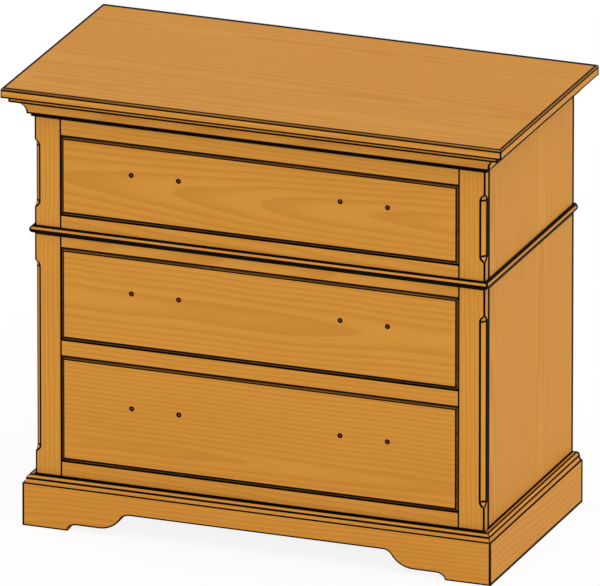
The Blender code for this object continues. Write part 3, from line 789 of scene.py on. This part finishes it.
tree, (profile, case_face, turn, start, end, start_mitre, end_mitre, start_line, end_line, lacquer) = new_tree(
    "moulding_run",
    (("Profile", "Geometry"), ("Case face", "Float"), ("Turn", "Float"), ("Start", "Float"), ("End", "Float"))
    + (("Start mitre", "Float"), ("End mitre", "Float"), ("Start line", "Float"), ("End line", "Float"))
    + (("Lacquer", "Material"),),
)
loop = tree.node("GeometryNodeMeshToCurve", {}, {"Mesh": profile}, "Curve")
loop = stored(tree, loop, "section", "FLOAT_VECTOR", "POINT", tree.node("GeometryNodeInputPosition", {}, {}))
length = tree.node("GeometryNodeCurvePrimitiveLine", {}, {}, "Curve")
length = tree.node("GeometryNodeSubdivideCurve", {}, {"Curve": length, "Cuts": LAST_RING - 1}, "Curve")
length = stored(tree, length, "ring", "FLOAT", "POINT", tree.node("GeometryNodeInputIndex", {}, {}))
swept = {"Curve": length, "Profile Curve": loop, "Fill Caps": True}
run = tree.node("GeometryNodeCurveToMesh", {}, swept, "Mesh")
ring = named(tree, "ring", "FLOAT")
out, height = named(tree, "section", "FLOAT_VECTOR").parts()[:2]
near_start = start - out * start_mitre + ring * start_line
near_end = end + out * end_mitre - (LAST_RING - ring) * end_line
along = near_start + (near_end - near_start) * tree.math("GREATER_THAN", ring, LAST_RING / 2)
place = tree.joined(along, 0.0 - case_face - out, height)
run = tree.node("GeometryNodeSetPosition", {}, {"Geometry": run, "Position": place})
facing = tree.node("GeometryNodeInputNormal", {}, {})
facing = tree.node("GeometryNodeFieldOnDomain", {"data_type": "FLOAT_VECTOR", "domain": "FACE"}, {0: facing})
sawn = tree.math("GREATER_THAN", tree.math("ABSOLUTE", facing.parts()[0]), 0.5)
at_end = tree.math("GREATER_THAN", tree.math("ABSOLUTE", ring - LAST_RING / 2), 1.0)
run = stored(tree, run, "arris", "FLOAT", "CORNER", at_end * (1.0 - sawn))
run = stored(tree, run, "girth", "FLOAT", "CORNER", named(tree, "walked", "FLOAT") * (1.0 - sawn) - sawn)
run = tree.node("GeometryNodeTransform", {}, {"Geometry": run, "Rotation": tree.joined(0.0, 0.0, turn)})
moulding_run = close_tree(tree, run, lacquer)


def outline(moulding):
    """The outline of a moulding from its top at the case round to its foot, as how far out and how high, and the
    length walked at each point."""
    shape = clean_copy(moulding + "_left")
    end = max(shape.faces, key=lambda face: face.normal.y)
    points = [(-vert.co.x - CASE_SIDE, vert.co.z) for vert in end.verts]
    shape.free()
    first = max(range(len(points)), key=lambda index: (round(-points[index][0], 5), points[index][1]))
    points = points[first:] + points[:first]
    if points[1][0] < points[0][0] + 0.0001:
        points = points[:1] + points[:0:-1]
    points = np.array(points)
    return points, np.concatenate(([0.0], np.cumsum(np.linalg.norm(np.diff(points, axis=0), axis=1))))


MITRE_LINE = 0.0040  # how much of a run's mitred end the glaze covers
BACK_LINE = 0.0090  # how much of its rear end it covers
MOULDINGS = (  # each with the bands darkened along it; the bead's lower band is painted shade under the bead, and the cove's last band, at its foot, is partly painted shade
    ("cove_moulding", ((0.0300, 0.0376), (0.0424, 0.0478), (0.0838, 0.1200))),
    ("waist_bead", ((-0.0100, 0.0069), (0.0114, 0.0400))),
    ("plinth", ((-0.0100, 0.0026), (0.0064, 0.0100), (0.0150, 0.0189), (0.0252, 0.0290), (0.1050, 0.2000))),
)
RUN_LABELS = ("Case face", "Turn", "Start", "Start mitre", "Start line", "End", "End mitre", "End line")


def run_sizes(node, side, reach):
    """The sizes of a run of moulding, in the order of their labels."""
    low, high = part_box(node)
    mitred = (1.0, MITRE_LINE)
    squared = (0.0, BACK_LINE)
    if side == "front":
        return (CASE_FRONT, 0.0, low[0] + reach, *mitred, high[0] - reach, *mitred)
    if side == "left":
        return (CASE_SIDE, -QUARTER_TURN, -high[1], *squared, -low[1] - reach, *mitred)
    return (CASE_SIDE, QUARTER_TURN, low[1] + reach, *mitred, high[1], *squared)


for board, (moulding, bands) in enumerate(MOULDINGS):
    points, walked = outline(moulding)
    corners = [(*point, 0.0) for point in points]
    sides = [(step, (step + 1) % len(points)) for step in range(len(points))]
    glaze_and_shade_lacquer = honey_finish(moulding + "_lacquer", bands)
    for index, (side, order) in enumerate((("front", "XZY"), ("left", "YZX"), ("right", "YZX"))):
        node = f"{moulding}_{side}"
        if node == "plinth_front":
            continue
        settings = dict(zip(RUN_LABELS, run_sizes(node, side, float(points[:, 0].max()))))
        settings["Lacquer"] = glaze_and_shade_lacquer
        seed = bpy.data.meshes.new(node + "_outline")
        seed.from_pydata(corners, sides, [])
        seed.attributes.new("walked", "FLOAT", "POINT").data.foreach_set("value", walked.astype(np.float32))
        mesh = grown(node + "_dressed", moulding_run, seed, settings)
        mesh.set_sharp_from_angle(angle=math.radians(50))
        lay_grain(mesh, order, 91 + 3 * board + index)
        dress(node, mesh, glaze_and_shade_lacquer, "case")


def lay_girth(mesh, points, walked):
    """Gives each point of a front run its distance round the outline of the moulding."""
    places = np.empty(len(mesh.vertices) * 3, np.float32)
    mesh.vertices.foreach_get("co", places)
    y, z = places.reshape(-1, 3)[:, 1:].T
    spots = np.stack((-y - CASE_FRONT, z), axis=1)
    girth = np.zeros(len(spots))
    nearest = np.full(len(spots), np.inf)
    for start, end, length in zip(points[:-1], points[1:], walked):
        share = np.clip((spots - start) @ (end - start) / ((end - start) @ (end - start)), 0.0, 1.0)
        gap = np.linalg.norm(spots - start - share[:, None] * (end - start), axis=1)
        girth = np.where(gap < nearest, length + share * np.linalg.norm(end - start), girth)
        nearest = np.minimum(gap, nearest)
    layer = mesh.attributes.new("girth", "FLOAT", "POINT")
    layer.data.foreach_set("value", girth.astype(np.float32))


SCROLL_TOP = 0.046  # the sawn lower edge of the front plinth lies below this
FRONT_BANDS = ((0.0000, 0.0100), (0.0150, 0.0189), (0.0252, 0.0290))  # the bands of glaze along it
MITRE_ENDS = ("X", MITRE_LINE, MITRE_LINE, "Y")  # glaze at its two mitres


def cross_edge(edge):
    """The arrises that cross the plinth at a mitre."""
    return sharp(edge) and any(min(abs(face.normal.x), abs(face.normal.y)) > 0.6 for face in edge.link_faces)


def sole_edge(edge):
    """The arrises along the sawn lower edge of the plinth."""
    sawn = all(vert.co.z < SCROLL_TOP for vert in edge.verts)
    upright = any(abs(face.normal.z) < 0.001 for face in edge.link_faces)
    return sharp(edge) and sawn and upright and not cross_edge(edge)


passes = (0.0012, CRISP, sole_edge), (0.0008, CRISP, cross_edge)
strips = end_strips("plinth_front", MITRE_ENDS)
mesh = worked_copy("plinth_front", *passes, clamp=False, border=0.0021, strips=strips)
lay_grain(mesh, "XZY", 97)
lay_girth(mesh, *outline("plinth"))
dress("plinth_front", mesh, honey_finish("plinth_front_lacquer", FRONT_BANDS), "case")

# Floor, light and camera. A pale studio floor under an even white sky, with one broad lamp in front.
# The floor looks white to the camera and to gloss, and keeps a share of the chest's shadow.
# The camera stands far off behind a very long lens, which makes its view almost parallel.

FLOOR_RADIUS = 26.0
FLOOR_GREY = (0.9, 0.9, 0.9, 1.0)
WHITE = (1.0, 1.0, 1.0, 1.0)
FLOOR_WHITE = 1.03  # the strength of the floor's plain white
WHITE_SHARE = 0.85  # the share of that white in the floor's look, where the rest is light and shadow
SKY_LIGHT = 0.8  # the strength of the sky as a light
SKY_LIFT = 0.25  # how much brighter the sky looks to the camera
VIEW_ROUND = 20.8824  # degrees that the camera stands round to the right of the front
VIEW_DOWN = 19.4799  # degrees that it looks down


def looked_at(tree):
    """1 for what the camera sees, straight, in gloss or through glass, and 0 for what lights the pieces."""
    straight = tree.node("ShaderNodeLightPath", {}, {}, "Is Camera Ray")
    outputs = straight.socket.node.outputs
    glossy = Value(tree.tree, outputs["Is Glossy Ray"])
    through = Value(tree.tree, outputs["Is Transmission Ray"])
    return tree.math("MINIMUM", straight + glossy + through, 1.0)


studio_floor, shader, tree = finish("studio_floor", roughness=0.9, specular=0.0)
shader.inputs["Base Color"].default_value = FLOOR_GREY
white = tree.node("ShaderNodeEmission", {}, {"Color": WHITE, "Strength": FLOOR_WHITE})
lit = Value(tree.tree, shader.outputs["BSDF"])
mixed = tree.node("ShaderNodeMixShader", {}, {0: looked_at(tree) * WHITE_SHARE, 1: lit, 2: white})
tree.tree.links.new(mixed.socket, tree.tree.nodes["Material Output"].inputs["Surface"])
disc = bmesh.new()
bmesh.ops.create_circle(disc, cap_ends=True, radius=FLOOR_RADIUS, segments=64)
floor_mesh = bpy.data.meshes.new("floor")
disc.to_mesh(floor_mesh)
disc.free()
floor_mesh.materials.append(studio_floor)
floor = bpy.data.objects.new("floor", floor_mesh)
bpy.context.scene.collection.objects.link(floor)

sky = bpy.data.worlds.new("studio_sky")
sky.use_nodes = True
bpy.context.scene.world = sky
tree = Value(sky.node_tree)
background = sky.node_tree.nodes["Background"]
background.inputs["Color"].default_value = WHITE
strength = SKY_LIGHT + looked_at(tree) * SKY_LIFT
sky.node_tree.links.new(strength.socket, background.inputs["Strength"])

lamp = bpy.data.lights.new("broad_lamp", "SUN")
lamp.energy = 0.9
lamp.angle = math.radians(60)
lamp_object = bpy.data.objects.new("broad_lamp", lamp)
lamp_object.rotation_euler = Euler((math.radians(54.7), 0, math.radians(45)))
bpy.context.scene.collection.objects.link(lamp_object)

camera = bpy.data.cameras.new("camera")
camera.lens = 1550
camera.clip_end = 200
camera_object = bpy.data.objects.new("camera", camera)
camera_object.location = (15.84907, -41.54295, 16.16070)
camera_object.rotation_euler = Euler((math.radians(90 - VIEW_DOWN), 0, math.radians(VIEW_ROUND)))
bpy.context.scene.collection.objects.link(camera_object)
bpy.context.scene.camera = camera_object
bpy.context.scene.view_settings.view_transform = "Standard"
